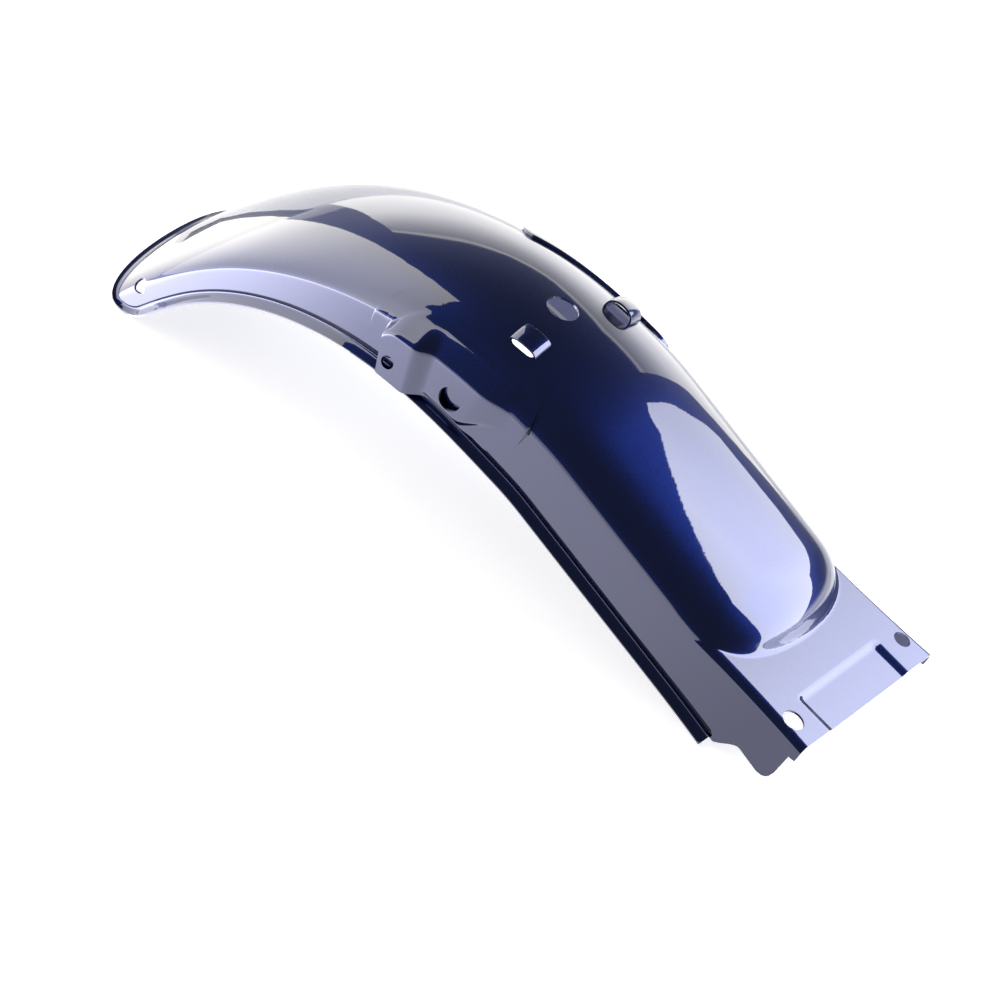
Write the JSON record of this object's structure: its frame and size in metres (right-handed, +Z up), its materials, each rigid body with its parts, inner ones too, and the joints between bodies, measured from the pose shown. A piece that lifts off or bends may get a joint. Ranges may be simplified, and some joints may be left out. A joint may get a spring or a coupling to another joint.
{
  "type": "motorcycle rear fender",
  "caption": "Pressed steel rear fender: an arched shell with a rolled edge, a domed nose, a flat bolt-on front plate, two harness bridges and a mounting bracket on each side.",
  "frame": {"origin": "on the ground under the middle of the part's length and width, as it stands on its rolled edge", "axes": "+X from the tail to the front plate, +Y to the rider's left, +Z up from the wheel towards the crown"},
  "size_m": [0.5402, 0.172, 0.1473],
  "materials": {
    "fender_paint": "glossy dark blue metallic lacquer",
    "bracket_paint": "glossy dark blue metallic lacquer"
  },
  "bodies": {
    "root": {"fender_shell": "fender_paint", "right_mount_bracket": "bracket_paint", "left_mount_bracket": "bracket_paint"}
  },
  "joints": []
}
